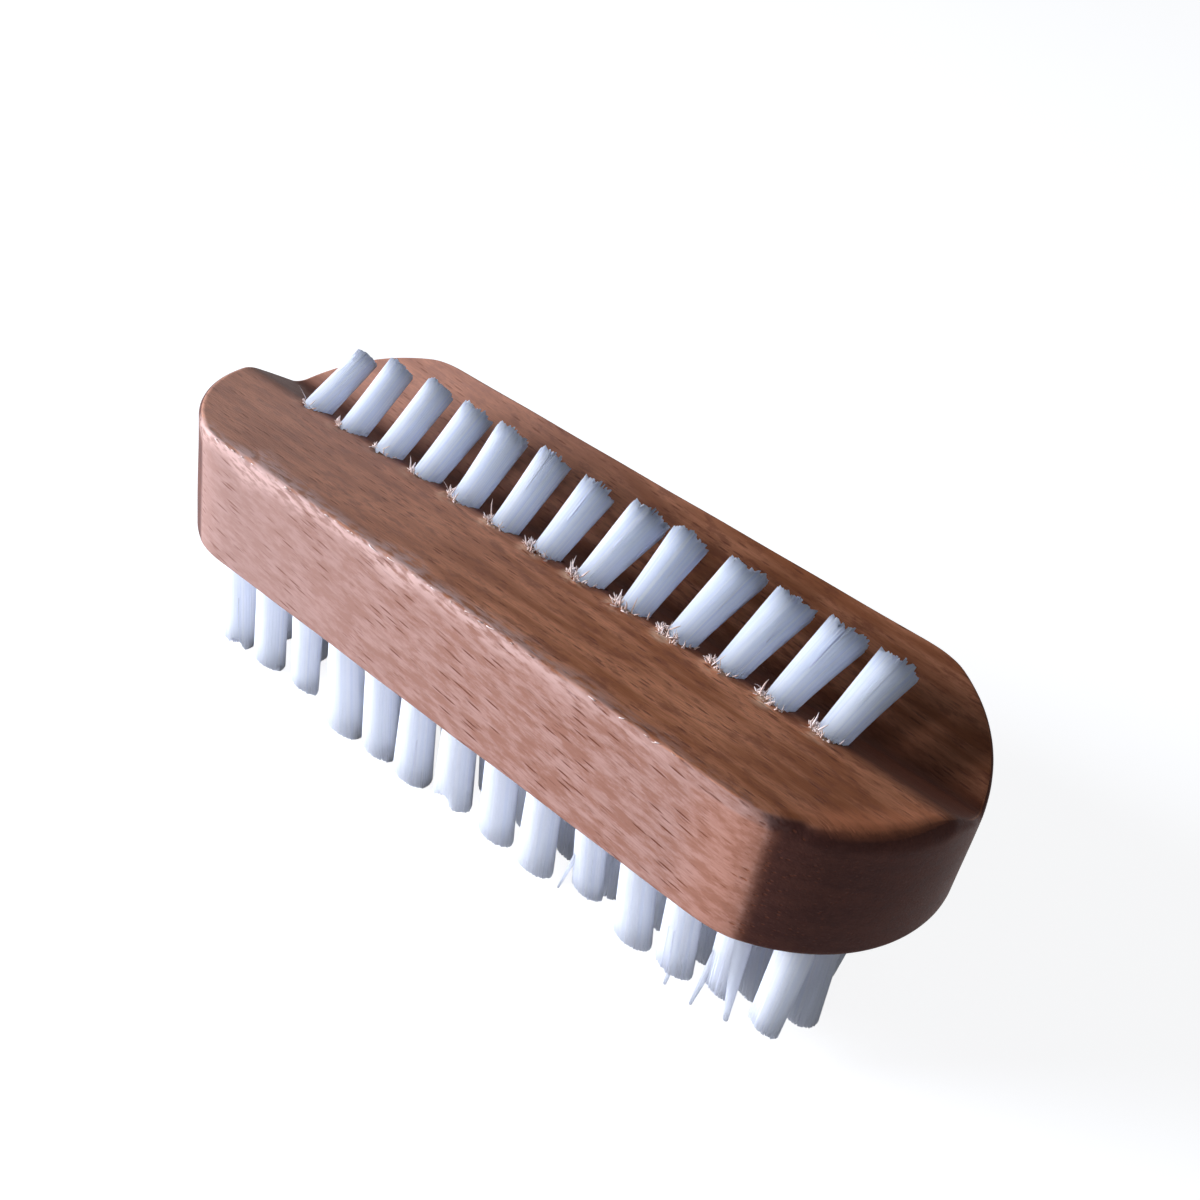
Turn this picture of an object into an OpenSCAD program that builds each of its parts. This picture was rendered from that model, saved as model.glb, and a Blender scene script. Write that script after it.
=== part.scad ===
// Nail brush with two working sides. A notched beech block carries one leaning row of
// stiff tufts for the nails on top, and five rows of upright tufts for the hands below.
// Every tuft is folded over a flat wire anchor at the bottom of its drilled hole.
// Lengths are in millimetres and +Z is up. The origin lies under the middle of the block,
// in the plane that the lower tufts stand on. The near side is towards -Y.

/* [Block] */
// Length of the block from end to end
block_length = 95; // [85:0.5:125]
// Width of the block across the grip
block_width = 34; // [32:0.5:38]
// Thickness of the wood at its two long edges
block_height = 14.8; // [13.5:0.1:22]
// How far each end bows out past the straight sides
end_bow = 12.5; // [10:0.5:14]
// Chamfer all round the lower edge
lower_chamfer = 0.5; // [0.2:0.1:1]
// Rounding of the near upper edge, under the thumb
thumb_edge_radius = 1.0; // [0.4:0.1:2]
// Rounding of the far upper edge
far_edge_radius = 0.4; // [0.2:0.1:1]

/* [Notch] */
// From the near side to the crest of the notch
crest_inset = 14.5; // [12.5:0.5:16]
// How far the crest lies under the near upper edge
crest_drop = 1.2; // [0.6:0.1:2]
// From the crest across to the bottom of the notch
notch_run = 7; // [6:0.5:8]
// How far the bottom of the notch lies under the crest
notch_drop = 3.8; // [3:0.1:4.5]
// Rounding of the crest
crest_radius = 0.4; // [0.2:0.1:0.8]
// Rounding that the cutter leaves at the bottom of the notch
notch_radius = 0.8; // [0.4:0.1:1.5]

/* [Nail tufts] */
// Number of tufts in the nail row
nail_tuft_count = 13; // [9:1:14]
// From the end of the block to the first nail tuft
nail_end_margin = 12.7; // [10:0.1:18]
// How far the nail row sits off the middle of the block, along it
nail_row_shift = -0.8; // [-2:0.1:2]
// Lean of the nail tufts from upright, towards the far side
nail_lean = 53; // [40:1:56]
// From the crest to the middle of each nail hole, measured across the block
nail_mouth_inset = 1.1; // [0.8:0.1:1.8]
// Length of the nail tufts outside the wood
nail_tuft_length = 9; // [6:0.5:11]
// Diameter of the nail holes
nail_hole_diameter = 3; // [2.5:0.1:3.3]
// Depth of the nail holes along their axis
nail_hole_depth = 6.5; // [5:0.5:7]
// Width of a nail tuft at its fanned tips
nail_tip_diameter = 4.2; // [3.4:0.1:4.8]
// How much shorter the most worn nail strands are
tip_wear = 0.8; // [0.2:0.1:1.5]

/* [Hand tufts] */
// Number of rows of hand tufts
hand_row_count = 5; // [3:1:5]
// Number of tufts in each hand row
hand_tuft_count = 14; // [10:1:15]
// From the end of the block to the first hand tuft
hand_end_margin = 8.5; // [8:0.1:14]
// How far the field of hand tufts sits off the middle of the block, along it
hand_field_shift = 1.5; // [-1.5:0.1:1.5]
// From the side of the block to the outer hand rows
hand_side_margin = 6.5; // [5.5:0.1:8]
// Length of the hand tufts outside the wood
hand_tuft_length = 16; // [8:0.5:22]
// Diameter of the hand holes
hand_hole_diameter = 3.6; // [2.8:0.1:3.8]
// Depth of the hand holes
hand_hole_depth = 6; // [4.5:0.5:6.5]
// Width of a hand tuft at its tips
hand_tip_diameter = 4.2; // [3.4:0.1:4.6]

/* [Strands] */
// Number of strands that a tuft parts into
strands_per_tuft = 5; // [4:1:6]
// Gap between neighbouring strands where they leave the root
root_gap = 0.16; // [0.1:0.02:0.3]
// Gap between neighbouring strands at the tips
tip_gap = 0.45; // [0.3:0.05:0.7]
// Clearance of a tuft's root in its hole
tuft_clearance = 0.05; // [0.02:0.01:0.1]

/* [Anchors] */
// Thickness of the flat anchor wire
anchor_thickness = 0.4; // [0.3:0.05:0.6]
// Height of the flat anchor wire
anchor_height = 1.2; // [0.8:0.1:1.8]
// Bristle folded under the anchor wire
anchor_fold = 0.6; // [0.4:0.1:1]
// Clearance round the anchor wire
anchor_clearance = 0.05; // [0.02:0.01:0.1]

/* [Hidden] */
beech = "#b47d5c";
nylon = "#eef0f6";
wire = "#a9a8a2";

// How far a cutting shape runs past the face it cuts
overrun = 1;
// Strands start this far inside the root that holds them
strand_rooting = 0.5;
// The fused root ends this far under the mouth of its hole
mouth_recess = 0.9;
// Wood left between the strands' outer faces and the root's flats
root_skin = 0.04;
// The bundle's open middle, as shares of its radius at the root and at the tips
core_root_share = 0.16;
core_tip_share = 0.26;
// Shares of the tip width by which the fan varies along the nail row
fan_growth_share = 0.14;
fan_scatter_share = 0.06;
// Each tuft is turned by this angle from the one before, so that no two part alike
tuft_turn = 37;
// Angle from tuft to tuft of the wave that scatters the fans
scatter_turn = 143;
root_sides = 8;
arc_steps = 6;
hole_fn = 48;
end_fn = 96;

underside = hand_tuft_length;
half_length = block_length / 2;
half_width = block_width / 2;
end_radius = (pow(half_width, 2) + pow(end_bow, 2)) / (2 * end_bow);
end_centre = half_length - end_radius;

crest = [crest_inset - half_width, block_height - crest_drop];
notch = crest + [notch_run, -notch_drop];
near_edge = [-half_width, block_height];
far_edge = [half_width, block_height];

nail_pitch = (block_length - 2 * nail_end_margin) / (nail_tuft_count - 1);
nail_mouth = crest + nail_mouth_inset * [1, -notch_drop / notch_run];
hand_pitch = (block_length - 2 * hand_end_margin) / (hand_tuft_count - 1);
hand_row_pitch = (block_width - 2 * hand_side_margin) / (hand_row_count - 1);

function two_digits(n) = n < 10 ? str("0", n) : str(n);
function nail_name(i) = str("nail_tuft_", two_digits(i + 1));
function row_name(i) = str("hand_row_", i + 1);

function unit(v) = v / norm(v);

// Points of an arc that rounds the corner between the lines to before and after
function rounded(before, corner, after, radius) =
    let (
        u = unit(before - corner),
        v = unit(after - corner),
        half = acos(u * v) / 2,
        centre = corner + unit(u + v) * radius / sin(half),
        first = corner + u * radius / tan(half) - centre,
        last = corner + v * radius / tan(half) - centre,
        turn = 180 - 2 * half
    )
    [for (k = [0 : arc_steps])
        let (s = k / arc_steps)
        centre + (sin((1 - s) * turn) * first + sin(s * turn) * last) / sin(turn)];

// Cross-section of the wood, drawn across the block with its underside at zero
function section() =
    let (
        near_low = [-half_width, lower_chamfer],
        far_low = [half_width, lower_chamfer]
    )
    concat(
        [[lower_chamfer - half_width, 0], [half_width - lower_chamfer, 0], far_low],
        rounded(far_low, far_edge, notch, far_edge_radius),
        rounded(far_edge, notch, crest, notch_radius),
        rounded(notch, crest, near_edge, crest_radius),
        rounded(crest, near_edge, near_low, thumb_edge_radius),
        [near_low]
    );

// Outline of the block seen from above, taller than the wood on both faces
module outline_solid() {
    for (side = [-1, 1])
        translate([side * end_centre, 0, 0])
            rotate_extrude($fn = end_fn)
                polygon([
                    [0, -overrun],
                    [end_radius - lower_chamfer - overrun, -overrun],
                    [end_radius, lower_chamfer],
                    [end_radius, block_height + overrun],
                    [0, block_height + overrun]
                ]);
    straight = block_length - 2 * end_bow - 2 * overrun;
    translate([-straight / 2, -half_width - overrun, -overrun])
        cube([straight, block_width + 2 * overrun, block_height + 2 * overrun]);
}

// Places its children at the mouth of a nail hole, with +Z pointing out of the hole
module at_nail_hole(i) {
    translate([
        nail_row_shift + (i - (nail_tuft_count - 1) / 2) * nail_pitch,
        nail_mouth[0],
        underside + nail_mouth[1]
    ])
        rotate([-nail_lean, 0, 0])
            children();
}

// Places its children at the mouth of a hand hole, with +Z pointing down out of it
module at_hand_hole(row, i) {
    translate([
        hand_field_shift + (i - (hand_tuft_count - 1) / 2) * hand_pitch,
        (row - (hand_row_count - 1) / 2) * hand_row_pitch,
        underside
    ])
        rotate([180, 0, 0])
            children();
}

module hole(diameter, depth) {
    translate([0, 0, -depth])
        cylinder(h = depth + mouth_recess + overrun, d = diameter, $fn = hole_fn);
}

module block() {
    color(beech)
        difference() {
            translate([0, 0, underside])
                intersection() {
                    outline_solid();
                    rotate([90, 0, 90])
                        linear_extrude(block_length + 2 * overrun, center = true)
                            polygon(section());
                }
            for (i = [0 : nail_tuft_count - 1])
                at_nail_hole(i)
                    hole(nail_hole_diameter, nail_hole_depth);
            for (row = [0 : hand_row_count - 1], i = [0 : hand_tuft_count - 1])
                at_hand_hole(row, i)
                    hole(hand_hole_diameter, hand_hole_depth);
        }
}

// Four corners of a strand where it has the given height: a slice of the bundle's ring
function strand_corners(height, inner, outer, gap, start, end) =
    [for (c = [[inner, start, 1], [outer, start, 1], [outer, end, -1], [inner, end, -1]])
        let (a = c[1] + c[2] * asin(gap / 2 / c[0]))
        [c[0] * cos(a), c[0] * sin(a), height]];

// One four-sided strand between two slices of the bundle
module strand(low, high) {
    polyhedron(
        points = concat(low, high),
        faces = concat(
            [[0, 1, 2], [0, 2, 3], [7, 6, 5], [7, 5, 4]],
            [for (i = [0 : 3]) [i, i + 4, (i + 1) % 4 + 4]],
            [for (i = [0 : 3]) [i, (i + 1) % 4 + 4, (i + 1) % 4]]
        )
    );
}

// A tuft with its hole's mouth at the origin and its tips towards +Z
module tuft(hole_diameter, hole_depth, length, tip_diameter, wear, phase) {
    root_radius = hole_diameter / 2 - tuft_clearance;
    bundle = root_radius * cos(180 / root_sides) - root_skin;
    tip = tip_diameter / 2;
    step = 360 / strands_per_tuft;
    difference() {
        union() {
            translate([0, 0, tuft_clearance - hole_depth])
                rotate(180 / root_sides)
                    cylinder(h = hole_depth - tuft_clearance - mouth_recess, r = root_radius, $fn = root_sides);
            for (k = [0 : strands_per_tuft - 1])
                let (
                    start = phase + k * step,
                    height = length - wear * abs(sin(start + phase))
                )
                    strand(
                        strand_corners(
                            -mouth_recess - strand_rooting,
                            core_root_share * bundle, bundle, root_gap, start, start + step
                        ),
                        strand_corners(height, core_tip_share * tip, tip, tip_gap, start, start + step)
                    );
        }
        translate([0, 0, anchor_fold + anchor_height / 2 - hole_depth])
            cube([
                hole_diameter + overrun,
                anchor_thickness + 2 * anchor_clearance,
                anchor_height + 2 * anchor_clearance
            ], center = true);
    }
}

// Flat wire across the bottom of a hole, held by the fold of its tuft
module anchor(hole_diameter, hole_depth) {
    reach = sqrt(pow(hole_diameter / 2, 2) - pow(anchor_thickness / 2, 2)) - anchor_clearance;
    translate([0, 0, anchor_fold + anchor_height / 2 - hole_depth])
        cube([2 * reach, anchor_thickness, anchor_height], center = true);
}

// Nail tufts fan out more and more towards one end, where the row is the most worn
module nail_tuft(i) {
    along = i / (nail_tuft_count - 1);
    fan = 1 + fan_growth_share * (along - 1) + fan_scatter_share * sin(i * scatter_turn);
    color(nylon)
        at_nail_hole(i)
            tuft(
                nail_hole_diameter, nail_hole_depth, nail_tuft_length,
                fan * nail_tip_diameter, tip_wear, i * tuft_turn
            );
}

module nail_row_anchors() {
    color(wire)
        for (i = [0 : nail_tuft_count - 1])
            at_nail_hole(i)
                anchor(nail_hole_diameter, nail_hole_depth);
}

module hand_row(row) {
    color(nylon)
        for (i = [0 : hand_tuft_count - 1])
            at_hand_hole(row, i)
                tuft(
                    hand_hole_diameter, hand_hole_depth, hand_tuft_length,
                    hand_tip_diameter, 0, (i + row) * tuft_turn
                );
}

module hand_row_anchors(row) {
    color(wire)
        for (i = [0 : hand_tuft_count - 1])
            at_hand_hole(row, i)
                anchor(hand_hole_diameter, hand_hole_depth);
}

block();
nail_row_anchors();
for (i = [0 : nail_tuft_count - 1])
    nail_tuft(i);
for (row = [0 : hand_row_count - 1])
    hand_row(row);
for (row = [0 : hand_row_count - 1])
    hand_row_anchors(row);
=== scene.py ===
"""A double-sided beech nail brush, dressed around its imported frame.

The block is one piece of wood with softened, worn edges and drilled holes. Every tuft is
a tight body of nylon, fluted by its outer filaments, which leaves its hole and fans out,
with loose filament tips inside its crown. Lengths are in millimetres until a mesh is made,
and +X runs along the block.
"""

import math

import bpy
import numpy as np
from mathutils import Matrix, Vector


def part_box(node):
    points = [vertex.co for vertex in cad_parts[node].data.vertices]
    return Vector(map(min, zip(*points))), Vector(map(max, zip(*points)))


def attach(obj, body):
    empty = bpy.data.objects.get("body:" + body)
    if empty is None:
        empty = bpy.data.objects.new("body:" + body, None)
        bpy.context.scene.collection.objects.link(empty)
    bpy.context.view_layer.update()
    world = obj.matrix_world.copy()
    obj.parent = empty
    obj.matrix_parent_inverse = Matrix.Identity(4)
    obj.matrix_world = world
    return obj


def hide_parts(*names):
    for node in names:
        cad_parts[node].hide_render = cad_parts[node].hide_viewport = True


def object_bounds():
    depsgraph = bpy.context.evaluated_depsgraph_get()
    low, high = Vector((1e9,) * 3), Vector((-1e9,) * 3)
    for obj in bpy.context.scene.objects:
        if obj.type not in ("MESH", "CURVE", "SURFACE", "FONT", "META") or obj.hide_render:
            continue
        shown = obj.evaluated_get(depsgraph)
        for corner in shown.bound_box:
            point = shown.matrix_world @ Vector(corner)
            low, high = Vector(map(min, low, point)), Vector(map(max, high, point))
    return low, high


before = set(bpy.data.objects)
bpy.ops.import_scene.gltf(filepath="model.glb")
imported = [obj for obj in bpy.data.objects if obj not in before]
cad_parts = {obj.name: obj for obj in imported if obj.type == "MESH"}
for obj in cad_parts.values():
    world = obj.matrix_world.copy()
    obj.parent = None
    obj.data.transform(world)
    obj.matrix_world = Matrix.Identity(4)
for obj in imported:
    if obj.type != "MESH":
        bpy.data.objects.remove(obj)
cad_low, cad_high = [list(corner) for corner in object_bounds()]

MM = 0.001
rng = np.random.default_rng(20)

# Sizes of the block, from its node in the frame
block_low, block_high = [np.array(corner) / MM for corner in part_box("block")]
HALF_LENGTH = (block_high[0] - block_low[0]) / 2
HALF_WIDTH = (block_high[1] - block_low[1]) / 2
UNDERSIDE = block_low[2]
EDGE_THICKNESS = 14.8
EDGE_TOP = UNDERSIDE + EDGE_THICKNESS

# The ends are arcs that bow out past the straight sides
END_BOW = 12.5
END_RADIUS = (HALF_WIDTH**2 + END_BOW**2) / (2 * END_BOW)
END_CENTRE = HALF_LENGTH - END_RADIUS

# The notch: from the near side to its crest, down its short slope, and up its long one
CREST_INSET = 14.5
CREST_DROP = 1.2
NOTCH_RUN = 7.0
NOTCH_DROP = 3.8
CREST = np.array([CREST_INSET - HALF_WIDTH, EDGE_TOP - CREST_DROP])
NOTCH = CREST + np.array([NOTCH_RUN, -NOTCH_DROP])

# Roundings of the edges
CORNER_ROUNDING = 0.8
CREST_ROUNDING = 0.45
NOTCH_ROUNDING = 0.8
NEAR_EDGE_ROUNDING = 0.4
FAR_EDGE_ROUNDING = 0.4
# What wear adds to the near edge's rounding where it is worn most
EDGE_WEAR = 0.5
# The rims of the ends, which are worn most on the right
RIGHT_END_ROUNDING = 2.0
LEFT_END_ROUNDING = 0.7
FAR_END_ROUNDING = 0.6
LOWER_EDGE_ROUNDING = 0.5

# Lattice points along, across and up the block, close enough for the drilled rims
LATTICE = (301, 113, 37)
# A point this near to a hole's rim moves onto it: half the lattice's spacing
RIM_SNAP = 0.17
# How much of each hole is drawn before its tuft hides it
HOLE_SHOWN = 1.8
# The surface round a slanting mouth lies within this of the mouth, along the hole
DRILL_REACH = 2.4

# Fibres that stand off the near edge, and the sides of each fibre or sliver
EDGE_FIBRES = 34
SPLINTER_SIDES = 4
# How badly the drill tore the near side of each nail hole
MOUTH_TEARING = (0.1, 0.3, 0.2, 0.3, 0.5, 0.6, 0.8, 0.9, 0.8, 1.0, 0.7, 0.8, 0.7)

# The nail row, which leans over the notch
NAIL_COUNT = 13
NAIL_PITCH = 5.8
NAIL_ROW_SHIFT = -1.3
NAIL_LEAN = math.radians(53)
NAIL_LENGTH = 9.0
NAIL_HOLE_RADIUS = 1.6
# From the crest down the short slope to the middle of each hole, across the block
NAIL_MOUTH_INSET = 1.1
NAIL_MOUTH = CREST + NAIL_MOUTH_INSET * np.array([1.0, -NOTCH_DROP / NOTCH_RUN])
NAIL_AXIS = np.array([0.0, math.sin(NAIL_LEAN), math.cos(NAIL_LEAN)])

# The field of hand tufts, which stand straight down
ROW_COUNT = 5
HAND_COUNT = 14
HAND_PITCH = 6.0
HAND_ROW_PITCH = 5.25
HAND_FIELD_SHIFT = 1.5
HAND_LENGTH = UNDERSIDE
HAND_HOLE_RADIUS = 1.8
HAND_AXIS = np.array([0.0, 0.0, -1.0])

nail_x = NAIL_ROW_SHIFT + (np.arange(NAIL_COUNT) - (NAIL_COUNT - 1) / 2) * NAIL_PITCH
nail_mouths = np.array([[x, NAIL_MOUTH[0], NAIL_MOUTH[1]] for x in nail_x])
hand_x = HAND_FIELD_SHIFT + (np.arange(HAND_COUNT) - (HAND_COUNT - 1) / 2) * HAND_PITCH
hand_y = (np.arange(ROW_COUNT) - (ROW_COUNT - 1) / 2) * HAND_ROW_PITCH


def unit(vector):
    return vector / np.linalg.norm(vector)


def mesh_piece(name, points, faces, material):
    """Makes a smooth-shaded mesh from points in millimetres and rides it on the brush."""
    mesh = bpy.data.meshes.new(name)
    mesh.from_pydata((np.asarray(points) * MM).tolist(), [], faces)
    mesh.polygons.foreach_set("use_smooth", [True] * len(mesh.polygons))
    mesh.update()
    mesh.materials.append(material)
    piece = bpy.data.objects.new(name, mesh)
    bpy.context.collection.objects.link(piece)
    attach(piece, "root")
    return piece


# Materials


def linear(hex_colour):
    """Turns an sRGB hex colour such as #c79a84 into linear RGBA."""
    parts = [int(hex_colour[i : i + 2], 16) / 255 for i in (1, 3, 5)]
    return [c / 12.92 if c <= 0.04045 else ((c + 0.055) / 1.055) ** 2.4 for c in parts] + [1.0]


def add(tree, kind, settings=None, sockets=None, out=0):
    """Adds a node with its settings and inputs, and gives one of its outputs.

    An input takes a plain value, or a link where it is given another node's output.
    """
    node = tree.nodes.new("ShaderNode" + kind)
    for name, value in (settings or {}).items():
        setattr(node, name, value)
    for name, value in (sockets or {}).items():
        if isinstance(value, bpy.types.NodeSocket):
            tree.links.new(value, node.inputs[name])
        else:
            node.inputs[name].default_value = value
    return node.outputs[out] if node.outputs else node


def new_material(name):
    material = bpy.data.materials.new(name)
    material.use_nodes = True
    material.node_tree.nodes.clear()
    return material, material.node_tree


SMOOTH = {"interpolation_type": "SMOOTHSTEP"}
TIMES = {"operation": "MULTIPLY"}
PLUS = {"operation": "ADD"}
MINUS = {"operation": "SUBTRACT"}
LARGER = {"operation": "MAXIMUM"}

# A colour mix, and its sockets: their names are also those of its other data types
RGBA = {"data_type": "RGBA"}
SHARE, UNDER, OVER, MIXED = 0, 6, 7, 2

# Marks of the wood in millimetres: along the grain, across it and upwards
PATCH = (3.0, 1.0, 1.0)
STREAK = (30.0, 1.6, 1.6)
# Fibres are 0.02 mm across, too fine to show, and are drawn a fifth of a millimetre wide
FIBRE = (4.0, 0.2, 0.2)
# Growth rings lie in layers 1.5 mm high, which keep level for some 7 mm across an end
RING = (50.0, 7.0, 1.5)
SCUFF = (1.8, 0.5, 0.5)
# Cells that hold one ray fleck or one pore each: these fill about half of their cell
FLECK_CELL = (4.0, 0.42, 0.42)
PORE_CELL = (2.0, 0.3, 0.3)
# The grain falls 7 degrees along the block, as the flecks on the near side do
GRAIN_SLANT = (0.0, math.radians(-7), math.radians(2))
# Share by which painted sheen pales and greys the left half, at its strongest
MOST_SHEEN = 0.55


def cells(size):
    """The scale that gives a pattern cells of the given size in millimetres."""
    return tuple(1 / length for length in size)


def dashes(tree, grain, cell, keep):
    """A mask of short dark dashes along the grain: one to a cell, in the given share of cells."""
    place = add(tree, "Mapping", None, {"Vector": grain, "Scale": cells(cell)})
    far = add(tree, "TexVoronoi", None, {"Vector": place, "Scale": 1.0}, "Distance")
    tint = add(tree, "TexVoronoi", None, {"Vector": place, "Scale": 1.0}, "Color")
    chance = add(tree, "SeparateColor", None, {0: tint}, 1)
    inside = add(tree, "MapRange", SMOOTH, {"Value": far, "From Min": 0.34, "From Max": 0.14})
    chosen = {"Value": chance, "From Min": 1 - keep, "From Max": 1.15 - keep}
    kept = add(tree, "MapRange", None, chosen)
    return add(tree, "Math", TIMES, {0: inside, 1: kept})


def side_colour(tree, patches, fibre, painted_sheen):
    """The sides: pinkish tan patches under browner fibres, greyer under the painted sheen on the
    left half. Their pinkish grey is itself partly painted sheen.
    """
    patch = add(tree, "MapRange", SMOOTH, {"Value": patches, "From Min": 0.38, "From Max": 0.62})
    mottled = {SHARE: patch, UNDER: linear("#a06f5c"), OVER: linear("#ba8f80")}
    side = add(tree, "Mix", RGBA, mottled, MIXED)
    side = add(tree, "Mix", RGBA, {SHARE: fibre, UNDER: side, OVER: linear("#926552")}, MIXED)
    return add(tree, "Mix", RGBA, {SHARE: painted_sheen, UNDER: side, OVER: linear("#ad8d82")}, MIXED)


def upper_colour(tree, grain, patches, fibre, painted_sheen, along):
    """The upper side: streaked orange brown with dark blotches, paler under painted sheen on the
    left half, and darker under painted shade at the right end.
    """
    place = add(tree, "Mapping", None, {"Vector": grain, "Scale": cells(STREAK)})
    streaks = add(tree, "TexNoise", None, {"Vector": place, "Scale": 1.0, "Detail": 4.0})
    streak = add(tree, "MapRange", SMOOTH, {"Value": streaks, "From Min": 0.35, "From Max": 0.65})
    streaked = {SHARE: streak, UNDER: linear("#ae6a45"), OVER: linear("#e3976e")}
    upper = add(tree, "Mix", RGBA, streaked, MIXED)
    upper = add(tree, "Mix", RGBA, {SHARE: fibre, UNDER: upper, OVER: linear("#905837")}, MIXED)
    low_patches = {"Value": patches, "From Min": 0.52, "From Max": 0.36, "To Max": 0.6}
    blotch = add(tree, "MapRange", SMOOTH, low_patches)
    upper = add(tree, "Mix", RGBA, {SHARE: blotch, UNDER: upper, OVER: linear("#874f38")}, MIXED)
    # Painted sheen pales the left half of the upper side
    upper = add(tree, "Mix", RGBA, {SHARE: painted_sheen, UNDER: upper, OVER: linear("#cd9e8b")}, MIXED)
    # Painted shade darkens the upper side towards the right end, where the tufts shade it
    right_end = {"Value": along, "From Min": 26.0, "From Max": 42.0, "To Max": 0.3}
    right_shade = add(tree, "MapRange", SMOOTH, right_end)
    return add(tree, "Mix", RGBA, {SHARE: right_shade, UNDER: upper, OVER: linear("#764127")}, MIXED)


def end_colour(tree, grain, patches):
    """The end grain: dark growth rings in layers, speckled by the patches. End grain is darker by
    itself, and both its colours are darkened further as painted shade.
    """
    place = add(tree, "Mapping", None, {"Vector": grain, "Scale": cells(RING)})
    rings = add(tree, "TexNoise", None, {"Vector": place, "Scale": 1.0, "Detail": 2.0})
    speckle = add(tree, "Math", PLUS, {0: rings, 1: patches})
    ring = add(tree, "MapRange", SMOOTH, {"Value": speckle, "From Min": 0.7, "From Max": 1.3})
    ringed = {SHARE: ring, UNDER: linear("#4d2b25"), OVER: linear("#5f372c")}
    return add(tree, "Mix", RGBA, ringed, MIXED)


def darkness(tree, grain, endwise, painted_sheen, upward):
    """Dark ray flecks 1 to 3 mm long and 0.2 mm high, and fainter pores between them."""
    flecks = dashes(tree, grain, FLECK_CELL, 0.6)
    pores = dashes(tree, grain, PORE_CELL, 0.45)
    fleck = add(tree, "Math", TIMES, {0: flecks, 1: 0.95})
    pore = add(tree, "Math", TIMES, {0: pores, 1: 0.4})
    dark = add(tree, "Math", LARGER, {0: fleck, 1: pore})
    # Seen from its end the grain shows no flecks
    end_share = {"Value": endwise, "From Min": 0.9, "From Max": 0.5, "To Min": 0.15}
    sidewise = add(tree, "MapRange", None, end_share)
    dark = add(tree, "Math", TIMES, {0: dark, 1: sidewise})
    # Painted sheen pales them over the left half, and they show less through the oil on top
    sheen_range = {"Value": painted_sheen, "From Max": MOST_SHEEN, "To Min": 1.0, "To Max": 0.55}
    paled = add(tree, "MapRange", None, sheen_range)
    dark = add(tree, "Math", TIMES, {0: dark, 1: paled})
    veiled = add(tree, "MapRange", None, {"Value": upward, "To Min": 1.0, "To Max": 0.7})
    return add(tree, "Math", TIMES, {0: dark, 1: veiled})


def marked(tree, colour, mark, pattern, paint):
    """Paints a mark of the block over a colour, broken up by a pattern if one is given. Gives
    the new colour, and how much of the mark shows."""
    shown = add(tree, "Attribute", {"attribute_name": mark}, None, "Fac")
    if pattern is not None:
        shown = add(tree, "Math", TIMES, {0: shown, 1: pattern})
    over = {SHARE: shown, UNDER: colour, OVER: linear(paint)}
    return add(tree, "Mix", RGBA, over, MIXED), shown


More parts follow.
